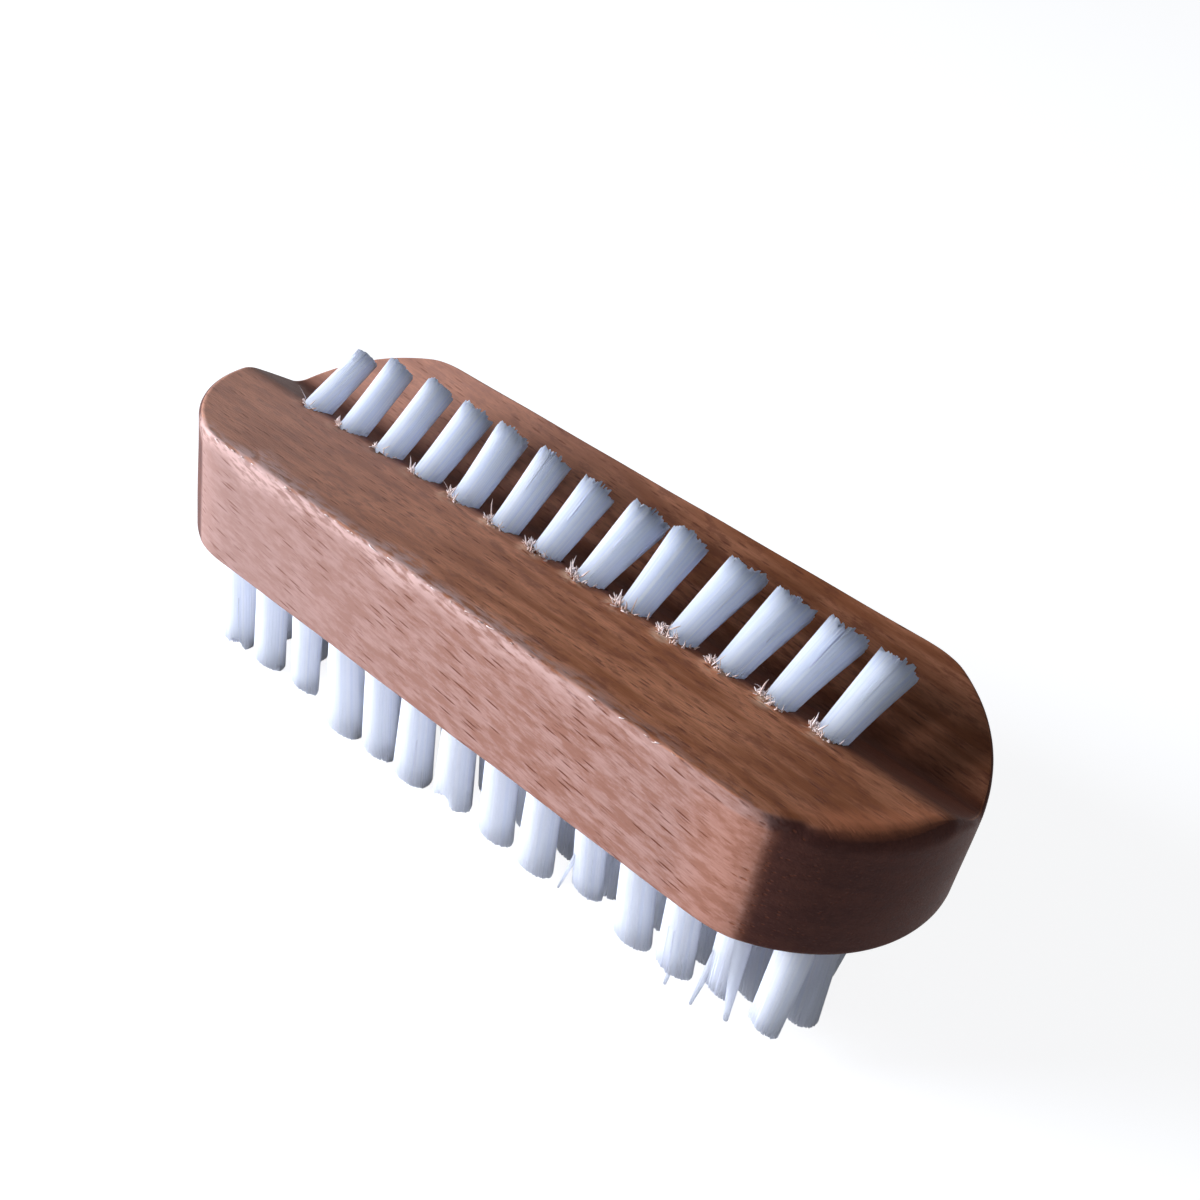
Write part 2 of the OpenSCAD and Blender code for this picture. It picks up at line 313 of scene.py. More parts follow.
def beech_material():
    """Steamed beech, planed and oiled: warm pinkish tan that the eye knows by its short dark
    ray flecks, with a browner upper side, darker end grain and pale worn edges. The pinkish grey
    of the sides and the paler left half are partly painted sheen, the ends, the notch and the
    right end of the upper side carry painted shade, and the right rim carries painted light."""
    material, tree = new_material("steamed_beech_oiled")
    place = add(tree, "TexCoord", out="Object")
    normal = add(tree, "TexCoord", out="Normal")
    facing = add(tree, "SeparateXYZ", None, {0: normal}, 2)
    upward = add(tree, "MapRange", SMOOTH, {"Value": facing, "From Min": 0.6, "From Max": 0.95})
    endwise = add(tree, "SeparateXYZ", None, {0: normal}, 0)
    endwise = add(tree, "Math", {"operation": "ABSOLUTE"}, {0: endwise})
    mm = add(tree, "VectorMath", {"operation": "SCALE"}, {0: place, "Scale": 1 / MM})
    grain = add(tree, "Mapping", None, {"Vector": mm, "Rotation": GRAIN_SLANT})
    along = add(tree, "SeparateXYZ", None, {0: mm}, 0)
    # Painted sheen pales the left half to a greyer pink
    left_half = {"Value": along, "From Min": 18.0, "From Max": -38.0}
    painted_sheen = add(tree, "MapRange", SMOOTH, left_half)
    painted_sheen = add(tree, "Math", TIMES, {0: painted_sheen, 1: MOST_SHEEN})

    patch_place = add(tree, "Mapping", None, {"Vector": grain, "Scale": cells(PATCH)})
    patch_noise = {"Vector": patch_place, "Scale": 1.0, "Detail": 6.0, "Roughness": 0.65}
    patches = add(tree, "TexNoise", None, patch_noise)
    fibre_place = add(tree, "Mapping", None, {"Vector": grain, "Scale": cells(FIBRE)})
    fibres = add(tree, "TexNoise", None, {"Vector": fibre_place, "Scale": 1.0, "Detail": 3.0})
    fibre_range = {"Value": fibres, "From Min": 0.35, "From Max": 0.7, "To Max": 0.4}
    fibre = add(tree, "MapRange", SMOOTH, fibre_range)

    side = side_colour(tree, patches, fibre, painted_sheen)
    upper = upper_colour(tree, grain, patches, fibre, painted_sheen, along)
    colour = add(tree, "Mix", RGBA, {SHARE: upward, UNDER: side, OVER: upper}, MIXED)
    end_range = {"Value": endwise, "From Min": 0.3, "From Max": 0.46, "To Max": 0.95}
    end_share = add(tree, "MapRange", SMOOTH, end_range)
    end = end_colour(tree, grain, patches)
    colour = add(tree, "Mix", RGBA, {SHARE: end_share, UNDER: colour, OVER: end}, MIXED)
    dark = darkness(tree, grain, endwise, painted_sheen, upward)
    colour = add(tree, "Mix", RGBA, {SHARE: dark, UNDER: colour, OVER: linear("#734231")}, MIXED)

    # Handling has bleached the near edge, painted light lies on the right end's rim and corner,
    # painted shade darkens the notch, and drilling has torn the rims of the nail holes
    scuff_place = add(tree, "Mapping", None, {"Vector": grain, "Scale": cells(SCUFF)})
    scuffs = add(tree, "TexNoise", None, {"Vector": scuff_place, "Scale": 1.0, "Detail": 5.0})
    scuff = add(tree, "MapRange", SMOOTH, {"Value": scuffs, "From Min": 0.36, "From Max": 0.58})
    # Painted light along the right end's rim and corner, broken up by the patches
    rim_light_range = {"Value": patches, "From Min": 0.3, "From Max": 0.6, "To Min": 0.4}
    rim_light_patches = add(tree, "MapRange", None, rim_light_range)
    colour, worn = marked(tree, colour, "worn", scuff, "#dbb3a5")
    colour, _ = marked(tree, colour, "rim_light", rim_light_patches, "#d8855c")
    colour, _ = marked(tree, colour, "notch_shade", None, "#482219")
    colour, _ = marked(tree, colour, "torn", scuff, "#e0bd9d")

    height = add(tree, "Math", MINUS, {0: fibres, 1: dark})
    height = add(tree, "Math", {"operation": "MULTIPLY_ADD"}, {0: worn, 1: scuffs, 2: height})
    relief = {"Height": height, "Strength": 0.5, "Distance": 0.08 * MM}
    bump = add(tree, "Bump", None, relief)
    rough = add(tree, "MapRange", None, {"Value": patches, "To Min": 0.4, "To Max": 0.62})
    shader = {
        "Base Color": colour,
        "Roughness": rough,
        "IOR": 1.5,
        "Specular IOR Level": 0.06,
        "Normal": bump,
    }
    surface = add(tree, "BsdfPrincipled", None, shader)
    add(tree, "OutputMaterial", None, {"Surface": surface})
    return material


# Light goes some eight millimetres through the tight part of a tuft before it turns
NYLON_LIGHT_PATH = 8.0


def nylon_material(name, pale, shaded, depth, through):
    """Extruded nylon filament: milky white with a cool cast and a satin shine. Each filament
    has its own tone, which gives a tuft its fine ridges, and lets light through: a tight body
    in its depth, a loose filament straight to its far side."""
    material, tree = new_material(name)
    tone = add(tree, "Attribute", {"attribute_name": "tone"}, None, "Fac")
    toned = {SHARE: tone, UNDER: linear(pale), OVER: linear(shaded)}
    colour = add(tree, "Mix", RGBA, toned, MIXED)
    shader = {
        "Base Color": colour,
        "Roughness": 0.6,
        "IOR": 1.53,
        "Specular IOR Level": 0.3,
        "Subsurface Weight": depth,
        "Subsurface Radius": (1.0, 1.0, 1.0),
        "Subsurface Scale": NYLON_LIGHT_PATH * MM,
        "Subsurface Anisotropy": 0.7,
    }
    surface = add(tree, "BsdfPrincipled", None, shader)
    glow = add(tree, "BsdfTranslucent", None, {"Color": colour})
    surface = add(tree, "MixShader", None, {0: through, 1: surface, 2: glow})
    add(tree, "OutputMaterial", None, {"Surface": surface})
    return material


def wire_material():
    """Galvanised flat wire: dull spangled grey, deep in the holes under the filaments."""
    material, tree = new_material("galvanised_wire")
    place = add(tree, "TexCoord", out="Object")
    # Zinc spangle about a third of a millimetre across
    crystals = {"Vector": place, "Scale": 1 / (0.35 * MM)}
    spangle = add(tree, "TexVoronoi", None, crystals, "Distance")
    spangled = {SHARE: spangle, UNDER: linear("#bdbcb6"), OVER: linear("#94938e")}
    colour = add(tree, "Mix", RGBA, spangled, MIXED)
    shader = {"Base Color": colour, "Metallic": 1.0, "Roughness": 0.45}
    surface = add(tree, "BsdfPrincipled", None, shader)
    add(tree, "OutputMaterial", None, {"Surface": surface})
    return material


def splinter_material():
    """Raw beech fibre torn up by the drill: pale, dry tan beside the oiled face."""
    material, tree = new_material("torn_beech_fibre")
    chance = add(tree, "NewGeometry", out="Random Per Island")
    varied = {SHARE: chance, UNDER: linear("#e8c8b4"), OVER: linear("#fbeae0")}
    colour = add(tree, "Mix", RGBA, varied, MIXED)
    shader = {"Base Color": colour, "Roughness": 0.7, "IOR": 1.5}
    surface = add(tree, "BsdfPrincipled", None, shader)
    add(tree, "OutputMaterial", None, {"Surface": surface})
    return material


BEECH = beech_material()
NAIL_NYLON = nylon_material("nail_side_nylon", "#edf3ff", "#dee7ff", 1.0, 0.25)
NAIL_TIPS = nylon_material("nail_side_nylon_tips", "#f6f8ff", "#edf1ff", 0.0, 0.5)
HAND_NYLON = nylon_material("hand_side_nylon", "#f5f6ff", "#e9ecfb", 1.0, 0.1)
HAND_TIPS = nylon_material("hand_side_nylon_tips", "#f8f9ff", "#f0f2fa", 0.0, 0.5)
WIRE = wire_material()
SPLINTER = splinter_material()


# The wooden block


def round_max(a, b, radius):
    """The overlap of two solids given by signed distances, with its edge rounded."""
    corner = np.hypot(np.maximum(a + radius, 0), np.maximum(b + radius, 0))
    return np.minimum(-radius, np.maximum(a, b)) + corner


def above_line(y, z, start, end):
    """Signed height over the line from start to end in the block's cross-section."""
    along = unit(end - start)
    return (z - start[1]) * along[0] - (y - start[0]) * along[1]


# The near edge is worn by chance from place to place, and less towards the right
WEAR_STEP = 2.6
wear_x = np.arange(-HALF_LENGTH, HALF_LENGTH + WEAR_STEP, WEAR_STEP)
wear = rng.uniform(0.1, 1.0, len(wear_x)) ** 1.5
wear = wear * np.interp(wear_x, [-30, 5, 30], [1.0, 0.8, 0.35])


def section_top(y, z):
    """Signed height over the notched upper side, in the block's cross-section."""
    near_facet = above_line(y, z, np.array([-HALF_WIDTH, EDGE_TOP]), CREST)
    slope = above_line(y, z, CREST, NOTCH)
    far_wall = above_line(y, z, NOTCH, np.array([HALF_WIDTH, EDGE_TOP]))
    near_part = round_max(near_facet, slope, CREST_ROUNDING)
    return -round_max(-near_part, -far_wall, NOTCH_ROUNDING)


def rim_rounding(x, y):
    """Rounding of the upper rim: by wear along the near side, sharp along the far side, and by
    end where the ends bow out, with the far part of an end less worn than its near part."""
    near_side = NEAR_EDGE_ROUNDING + EDGE_WEAR * np.interp(x, wear_x, wear)
    side = np.where(y > 0, FAR_EDGE_ROUNDING, near_side)
    near_end = np.where(x > 0, RIGHT_END_ROUNDING, LEFT_END_ROUNDING)
    far_share = np.interp(y, [CREST[0] - 2, CREST[0] + 3], [0, 1])
    end = near_end + (FAR_END_ROUNDING - near_end) * far_share
    end_share = np.clip((np.abs(x) - (HALF_LENGTH - END_BOW) + 1) / 5, 0, 1)
    return side + (end - side) * end_share


def wood_distance(p):
    """Signed distance from the surface of the block, negative inside the wood."""
    x, y, z = p[:, 0], p[:, 1], p[:, 2]
    arc = np.hypot(np.maximum(np.abs(x) - END_CENTRE, 0), y) - END_RADIUS
    plan = round_max(arc, np.abs(y) - HALF_WIDTH, CORNER_ROUNDING)
    wood = round_max(plan, section_top(y, z), rim_rounding(x, y))
    return round_max(wood, UNDERSIDE - z, LOWER_EDGE_ROUNDING)


def outward(points, step=0.01):
    """Slope of the distance at each point, which points straight out of the wood."""
    distance = wood_distance(points)
    slope = np.empty_like(points)
    for axis in range(3):
        moved = points.copy()
        moved[:, axis] += step
        slope[:, axis] = (wood_distance(moved) - distance) / step
    return distance, slope


def settle(points, rounds=6):
    """Moves points onto the surface of the wood."""
    for _ in range(rounds):
        distance, slope = outward(points)
        steepness = np.maximum((slope**2).sum(axis=1, keepdims=True), 0.2)
        points = points - distance[:, None] * slope / steepness
    return points


def half_chord(y):
    """Half of the block's length where it has the given distance from its middle line."""
    return END_CENTRE + np.sqrt(np.maximum(END_RADIUS**2 - y**2, 0))


def top_height(y):
    """Height of the upper face over each place across the block."""
    return np.interp(
        y,
        [-HALF_WIDTH, CREST[0], NOTCH[0], HALF_WIDTH],
        [EDGE_TOP, CREST[1], NOTCH[1], EDGE_TOP],
    )


def edge_clustered(count):
    """Values from -1 to 1 that lie closer together towards both ends."""
    even = np.linspace(-1, 1, count)
    return even + 0.13 * np.sin(math.pi * even)


def lattice_box(counts):
    """The quads of a box of lattice points, facing out, and the lattice place of each point."""
    quads = []
    for axis in range(3):
        a, b = [k for k in range(3) if k != axis]
        i, j = np.meshgrid(np.arange(counts[a] - 1), np.arange(counts[b] - 1), indexing="ij")
        for level in (0, counts[axis] - 1):
            corners = []
            for di, dj in ((0, 0), (1, 0), (1, 1), (0, 1)):
                place = [None, None, None]
                place[axis] = np.full(i.size, level)
                place[a] = (i + di).ravel()
                place[b] = (j + dj).ravel()
                corners.append((place[0] * counts[1] + place[1]) * counts[2] + place[2])
            flip = (level == 0) == (axis != 1)
            quads.append(np.stack(corners[::-1] if flip else corners, axis=1))
    quads = np.concatenate(quads)
    used, renamed = np.unique(quads, return_inverse=True)
    places = used // (counts[1] * counts[2]), used // counts[2] % counts[1], used % counts[2]
    return renamed.reshape(quads.shape), places


def drill(points, mouth, axis, radius):
    """Sinks the part of a surface inside a hole's rim, and pulls the nearest points to it."""
    offset = points - mouth
    along = offset @ axis
    across = offset - along[:, None] * axis
    reach = np.linalg.norm(across, axis=1)
    near = np.abs(along) < DRILL_REACH
    rim = near & (np.abs(reach - radius) < RIM_SNAP)
    points[rim] += across[rim] * (radius / reach[rim] - 1)[:, None]
    inside = near & (reach < radius - RIM_SNAP)
    points[inside] -= (along[inside] + HOLE_SHOWN)[:, None] * axis
    return points


def worn_edge(x, y, z):
    """The bleached band along the near edge, ragged where the edge has worn back."""
    from_edge = np.hypot(y + HALF_WIDTH, z - EDGE_TOP)
    ragged = 1.1 + 1.7 * np.interp(x, wear_x, wear)
    share = np.interp(x, [-40, 0, 18, 30], [1, 0.85, 0.5, 0.2])
    return np.clip(1.5 - from_edge / ragged, 0, 1) * share


# The near facet lies within this of the top
UPPER_BAND = 1.4


def lit_right_rim(x, y, z):
    """Painted light, lighter and more orange: inside the rim of the right end, along its bow,
    and down the near right corner."""
    from_rim = half_chord(y) - x
    band = np.interp(from_rim, [0.4, 1.4, 3.0, 5.0], [0, 1, 0.7, 0])
    band = band * (z > EDGE_TOP - UPPER_BAND)
    rim = band * np.interp(y, [-14.5, -12, -4, CREST[0]], [0, 0.95, 0.5, 0]) * (x > 0)
    past_corner = x - HALF_LENGTH + END_BOW
    corner = np.interp(past_corner, [-6, 0, 1.5, 3], [0, 0.3, 0.3, 0]) * (y < -12)
    return np.maximum(rim, corner * (z < EDGE_TOP - UPPER_BAND))


def shaded_notch(x, y, z):
    """Painted shade down the short slope of the notch, thinning out over its long one."""
    across = [CREST[0] - 1, CREST[0] + 1, NOTCH[0], NOTCH[0] + 3, HALF_WIDTH]
    notch_shade = np.interp(y, across, [0, 0.9, 0.9, 0.2, 0.1])
    return notch_shade * (z > NOTCH[1] - 0.5) * (half_chord(y) - np.abs(x) > 0.5)


def torn_mouths(x, y, z):
    """The torn wood on the near side of each nail hole."""
    torn = np.zeros(len(x))
    for mouth, share in zip(nail_mouths, MOUTH_TEARING):
        reach = np.hypot((x - mouth[0] + 0.6) / 1.2, y - mouth[1] + 1.6)
        torn = np.maximum(torn, share * np.clip(1.7 - reach, 0, 1) * (z > NOTCH[1] + 1))
    return torn


def wear_marks(points):
    """How worn and torn the wood is at each point, and how much painted shade and light it
    carries, from 0 to 1.
    """
    x, y, z = points.T
    return {
        "worn": worn_edge(x, y, z),
        "torn": torn_mouths(x, y, z),
        "notch_shade": shaded_notch(x, y, z),
        "rim_light": lit_right_rim(x, y, z),
    }


def build_block():
    """The block: a fine lattice box, bent to the outline, rounded, worn and drilled."""
    along, across, up = [edge_clustered(count) for count in LATTICE]
    quads, (i, j, k) = lattice_box(LATTICE)
    y = across[j] * HALF_WIDTH
    x = along[i] * half_chord(y)
    z = UNDERSIDE + (up[k] + 1) / 2 * (top_height(y) - UNDERSIDE)
    points = settle(np.stack([x, y, z], axis=1))
    # Hand sanding leaves the faces a few hundredths of a millimetre out of flat
    slope = outward(points)[1]
    wave = np.sin(points @ [0.21, 0.35, 0.3]) + np.sin(points @ [0.47, -0.26, 0.55] + 2)
    points = points - (0.03 + 0.015 * wave)[:, None] * slope
    marks = wear_marks(points)
    # Torn rims stand up in small burrs
    burr = marks["torn"] * rng.uniform(0, 0.3, len(points))
    points = points + burr[:, None] * slope
    points[:, 2] = np.minimum(points[:, 2], EDGE_TOP)
    for mouth in nail_mouths:
        points = drill(points, mouth, NAIL_AXIS, NAIL_HOLE_RADIUS)
    for row in hand_y:
        for x in hand_x:
            mouth = np.array([x, row, UNDERSIDE])
            points = drill(points, mouth, HAND_AXIS, HAND_HOLE_RADIUS)
    piece = mesh_piece("wood_block", points, quads.tolist(), BEECH)
    for name, values in marks.items():
        layer = piece.data.attributes.new(name, "FLOAT", "POINT")
        layer.data.foreach_set("value", values.astype(np.float32))
    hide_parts("block")


def hole_slivers():
    """Start, direction, length and width of each sliver on the near side of the nail holes."""
    slivers = []
    for mouth, share in zip(nail_mouths, MOUTH_TEARING):
        for _ in range(int(12 + 90 * share)):
            angle = rng.normal(math.radians(228), math.radians(36))
            reach = rng.uniform(1.5, 1.75 + 0.75 * share)
            x = mouth[0] + reach * math.cos(angle)
            y = mouth[1] + 0.95 * reach * math.sin(angle)
            long = rng.random() < 0.04
            lift = rng.uniform(0.6, 1.4) if long else rng.uniform(0.1, 1.3)
            start = [x, y, float(top_height(y)) - 0.08]
            direction = unit(np.array([rng.normal(0, 0.7), rng.normal(0, 0.5), lift]))
            length = rng.uniform(1.0, 2.0) if long else rng.uniform(0.25, 0.5 + 0.45 * share)
            slivers.append((start, direction, length, rng.uniform(0.05, 0.13)))
    return slivers


def edge_fibres():
    """The same of each fibre that handling has raised along the near edge."""
    fibres = []
    for _ in range(EDGE_FIBRES):
        x = rng.uniform(-34, 12) if rng.random() < 0.75 else rng.uniform(12, 34)
        rounding = NEAR_EDGE_ROUNDING + EDGE_WEAR * np.interp(x, wear_x, wear)
        start = [x, -HALF_WIDTH + 0.32 * rounding, EDGE_TOP - 0.32 * rounding]
        way = [rng.choice([-1, 1]), rng.normal(-0.05, 0.2), rng.normal(0.0, 0.15)]
        length = rng.uniform(0.3, 1.1)
        fibres.append((start, unit(np.array(way)), length, rng.uniform(0.03, 0.06)))
    return fibres


def build_splinters():
    """Slivers of beech that the drill tore up at the nail holes, and raised edge fibres."""
    splinters = hole_slivers() + edge_fibres()
    starts, directions, lengths, widths = [np.array(values) for values in zip(*splinters)]
    shares = np.array([-0.1, 0.3, 0.7, 1.0])
    curl = rng.normal(0, 0.18, (len(starts), 3)) * lengths[:, None]
    paths = starts[:, None] + shares[None, :, None] * (directions * lengths[:, None])[:, None]
    paths = paths + (shares**2)[None, :, None] * curl[:, None]
    paths[:, :, 2] = np.minimum(paths[:, :, 2], cad_high[2] / MM - 0.2)
    radii = widths[:, None] * np.array([1.0, 0.9, 0.6, 0.12])[None]
    points, faces = tube_bundle(paths, radii, SPLINTER_SIDES)
    points[:, 1] = np.maximum(points[:, 1], -HALF_WIDTH)
    mesh_piece("torn_splinters", points, faces, SPLINTER)


# Tufts

# Tufts are drawn from this deep in their hole
FILAMENT_DEPTH = 1.5
# They fan out a little more towards their tips than they would along straight lines
FAN_POWER = 1.15
# Clearance of the tight body in its hole
BODY_CLEARANCE = 0.03
FILAMENT_SIDES = 5
# Lengthwise lines of a flute: its groove, and two on its crown, as shares of its width
FLUTE_SHARES = np.array([0.0, 0.35, 0.65])
# A groove between two clumps is this many times as deep as one between two filaments
CLUMP_GROOVE = 2.5
# How far the middle of a crown is sunk, as a share of the tuft's last length
CROWN_HOLLOW = 0.1


def seat_points(count, radius):
    """Evenly spread places of the filaments inside a hole, by the sunflower rule."""
    index = np.arange(count)
    reach = radius * np.sqrt((index + 0.5) / count)
    turn = index * math.pi * (3 - math.sqrt(5))
    return np.stack([reach * np.cos(turn), reach * np.sin(turn)], axis=1)


def tube_bundle(paths, radii, sides):
    """Closed tubes along many paths at once: paths is filaments by rings by 3, radii by rings."""
    count, rings = paths.shape[:2]
    direction = paths[:, -1] - paths[:, 0]
    direction /= np.linalg.norm(direction, axis=1, keepdims=True)
    side = np.cross(direction, [0.94, 0.31, 0.14])
    side /= np.linalg.norm(side, axis=1, keepdims=True)
    up = np.cross(direction, side)
    turn = np.arange(sides) * 2 * math.pi / sides
    ring = np.cos(turn)[None, :, None] * side[:, None] + np.sin(turn)[None, :, None] * up[:, None]
    points = paths[:, :, None] + radii[:, :, None, None] * ring[:, None]
    base = (np.arange(count) * rings * sides)[:, None, None]
    row = (np.arange(rings - 1) * sides)[None, :, None]
    spot = np.arange(sides)[None, None, :]
    after = (np.arange(sides) + 1)[None, None, :] % sides
    first = base + row + spot
    second = base + row + after
    walls = np.stack([first, second, second + sides, first + sides], axis=-1).reshape(-1, 4)
    start_caps = (base[:, 0] + np.arange(sides)[::-1][None]).tolist()
    end_caps = (base[:, 0] + (rings - 1) * sides + np.arange(sides)[None]).tolist()
    return points.reshape(-1, 3), walls.tolist() + start_caps + end_caps


def bundle_paths(mouth, axis, seats, tips, lengths, start=0.0):
    """Paths of a tuft's filaments, which fan out from their seats at the mouth to their tips.

    They set out in the hole, or at the given share of their length.
    """
    along = np.array([1.0, 0.0, 0.0])
    across = unit(np.cross(axis, along))
    shares = np.linspace(start, 1, 3 if start else 5)
    reach = lengths[:, None] * shares[None]
    if not start:
        shares = np.concatenate([[0], shares])
        reach = np.concatenate([np.full((len(seats), 1), -FILAMENT_DEPTH), reach], axis=1)
    spread = seats[:, None] + (tips - seats)[:, None] * (shares**FAN_POWER)[None, :, None]
    return (
        np.asarray(mouth)
        + reach[:, :, None] * axis
        + spread[:, :, :1] * along
        + spread[:, :, 1:] * across
    )


def loft(paths, hollow=0.0):
    """A closed body with the given paths as its lengthwise lines, in turning order. The middle
    of its end may be sunk by a share of its last length."""
    count, rings = paths.shape[:2]
    middle = paths.mean(axis=0)
    middle[-1] += hollow * (middle[-2] - middle[-1])
    points = np.concatenate([paths.transpose(1, 0, 2).reshape(-1, 3), middle[:1], middle[-1:]])
    spot = np.arange(count)
    after = (spot + 1) % count
    faces = []
    for ring in range(rings - 1):
        low, high = ring * count, (ring + 1) * count
        faces += np.stack([low + spot, low + after, high + after, high + spot], axis=1).tolist()
    foot, crown, last = rings * count, rings * count + 1, (rings - 1) * count
    faces += np.stack([after, spot, np.full(count, foot)], axis=1).tolist()
    faces += np.stack([last + spot, last + after, np.full(count, crown)], axis=1).tolist()
    return points, faces


def packed_body(mouth, axis, radius, tip_radius, aim, length_at, flutes, split, ragged):
    """The tight part of a tuft. Its outer filaments show as flutes that end at ragged heights,
    and the share of them given by split has a deeper groove, which parts two clumps. Gives
    its mesh and the tone of each point."""
    bounds = np.concatenate([[0], np.cumsum(rng.uniform(0.6, 1.4, flutes))])
    bounds *= 2 * math.pi / bounds[-1]
    turn = (bounds[:-1, None] + np.diff(bounds)[:, None] * FLUTE_SHARES[None]).ravel()
    depth = rng.uniform(0.015, 0.04, flutes)
    depth[rng.random(flutes) < split] *= CLUMP_GROOVE
    groove = (depth[:, None] * (FLUTE_SHARES == 0)[None]).ravel()
    circle = np.stack([np.cos(turn), np.sin(turn)], axis=1)
    seats = circle * (radius - BODY_CLEARANCE - groove)[:, None]
    tips = circle * (tip_radius - 3 * groove)[:, None] + aim
    lines = len(FLUTE_SHARES)
    lengths = length_at(seats) - np.repeat(rng.uniform(0, ragged, flutes), lines)
    paths = bundle_paths(mouth, axis, seats, tips, lengths)
    points, faces = loft(paths, CROWN_HOLLOW)
    tone = np.repeat(rng.uniform(0, 1, flutes), lines)
    # The last two points are the middles of the foot and of the crown
    tone = np.concatenate([np.tile(tone, paths.shape[1]), [0.5, 0.5]])
    return points, faces, tone


def loose_filaments(paths, radius):
    """The outer lengths of a tuft's filaments, which part near their tips."""
    radii = np.repeat(radius * np.array([1.0, 1.0, 0.85])[None], len(paths), axis=0)
    points, faces = tube_bundle(paths, radii, FILAMENT_SIDES)
    tone = np.repeat(rng.uniform(0, 1, len(paths)), len(points) // len(paths))
    return points, faces, tone


def tuft_piece(name, node, parts, material):
    """Joins meshes of tufts into one piece, which takes the place of a node."""
    points, faces, tones = [], [], []
    count = 0
    for part_points, part_faces, part_tones in parts:
        faces += [[corner + count for corner in face] for face in part_faces]
        count += len(part_points)
        points.append(part_points)
        tones.append(part_tones)
    points = np.concatenate(points)
    low, high = cad_low[2] / MM, cad_high[2] / MM
    points[:, 2] = np.clip(points[:, 2], low, high)
    piece = mesh_piece(name, points, faces, material)
    layer = piece.data.attributes.new("tone", "FLOAT", "POINT")
    layer.data.foreach_set("value", np.concatenate(tones).astype(np.float32))
    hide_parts(node)


def clumped(seats, radius, spread, count=9):
    """The same random move for all filaments of a clump, as wet filaments stick together."""
    centres = seat_points(count, radius)
    nearest = np.argmin(((seats[:, None] - centres[None]) ** 2).sum(axis=2), axis=1)
    return rng.normal(0, spread, (count, 2))[nearest], rng.uniform(0, 1, count)[nearest]


# Loose filaments in a tuft, and the flutes round its body
NAIL_FILAMENTS = 170
NAIL_FILAMENT_RADIUS = 0.115
NAIL_FLUTES = 58
HAND_FILAMENTS = 130
HAND_FILAMENT_RADIUS = 0.15
HAND_FLUTES = 36
# Loose filaments start inside the body at this share of their length
NAIL_LOOSE_SHARE = 0.45
HAND_LOOSE_SHARE = 0.6
# How far their middles keep inside the hole's radius at the mouth, and the body's at the tip
NAIL_SEAT_INSET = 0.12
NAIL_TIP_INSET = 0.15
HAND_SEAT_INSET = 0.14
HAND_TIP_INSET = 0.1

# Each nail tuft: width at its tip, lean along the row at the tip, extra length, fraying
NAIL_TUFTS = (
    (2.8, 0.4, -1.1, 0.0),
    (3.3, -0.7, -0.1, 0.15),
    (3.5, -0.5, 0.2, 0.2),
    (3.8, -0.4, 0.0, 0.35),
    (3.9, -0.9, 0.0, 0.45),
    (3.8, -0.7, 0.0, 0.5),
    (4.0, -0.1, -0.3, 0.6),
    (4.6, 0.6, 0.1, 0.85),
    (4.2, -0.1, 0.3, 0.7),
    (4.4, 1.0, 0.3, 0.6),
    (4.5, 1.0, 0.0, 0.7),
    (4.5, 1.1, 0.1, 0.8),
    (4.4, 0.9, 0.0, 0.6),
)

# Each tuft of the near hand row: width at its tip, lean along and across, how much shorter
NEAR_ROW = (
    (3.8, 0.5, 0.0, 0.0),
    (3.7, 0.0, 0.0, 0.3),
    (3.2, 0.3, 0.0, 0.7),
    (4.6, 2.0, -0.4, 0.0),
    (4.3, 1.2, 0.0, 0.0),
    (4.5, 0.4, 0.0, 0.0),
    (4.4, 0.5, 0.0, 1.0),
    (4.0, 1.0, 0.0, 0.8),
    (4.2, 0.6, 0.0, 0.8),
    (3.5, 1.0, 0.8, 1.8),
    (4.3, 1.5, 0.5, 0.8),
    (4.1, 1.0, 0.0, 1.8),
    (3.2, 0.1, 0.3, 2.7),
    (3.3, -0.5, 0.0, 2.8),
)


def nail_tuft(i, width, lean, longer, fraying):
    """One nail tuft: its tight body and its loose filaments, frayed by a share from 0 to 1."""
    length = NAIL_LENGTH + longer
    aim = np.array([lean, 0.0])

    def body_length(places):
        dips = 0.2 * np.sin(3 * places[:, 0] + i) + 0.15 * np.sin(5 * places[:, 1] + 2 * i)
        return length + 0.15 * fraying + dips * (0.2 + fraying)

    body = packed_body(
        nail_mouths[i],
        NAIL_AXIS,
        NAIL_HOLE_RADIUS,
        width / 2,
        aim,
        body_length,
        flutes=NAIL_FLUTES,
        split=0.12,
        ragged=0.1 + 1.2 * fraying,
    )
    seats = seat_points(NAIL_FILAMENTS, NAIL_HOLE_RADIUS - NAIL_SEAT_INSET)
    push, short = clumped(seats, NAIL_HOLE_RADIUS, 0.14 * fraying)
    tips = seats * ((width / 2 - NAIL_TIP_INSET) / NAIL_HOLE_RADIUS) + push
    tips = tips + rng.normal(0, 0.03 + 0.05 * fraying, seats.shape) + aim
    uneven = rng.uniform(0, 0.1 + 0.9 * fraying, len(seats))
    lengths = length - 0.7 * fraying * short - uneven
    paths = bundle_paths(nail_mouths[i], NAIL_AXIS, seats, tips, lengths, NAIL_LOOSE_SHARE)
    paths[:, :, 2] = np.minimum(paths[:, :, 2], cad_high[2] / MM - NAIL_FILAMENT_RADIUS)
    return body, loose_filaments(paths, NAIL_FILAMENT_RADIUS * width / 2 / NAIL_HOLE_RADIUS)


def build_nail_tufts():
    """The nail row: two pieces to a tuft, which take the place of its node."""
    for i, (width, lean, longer, fraying) in enumerate(NAIL_TUFTS):
        body, loose = nail_tuft(i, width, lean, longer, fraying)
        node = f"nail_tuft_{i + 1:02d}"
        tuft_piece(f"{node}_bundle", node, [body], NAIL_NYLON)
        tuft_piece(f"{node}_filaments", node, [loose], NAIL_TIPS)


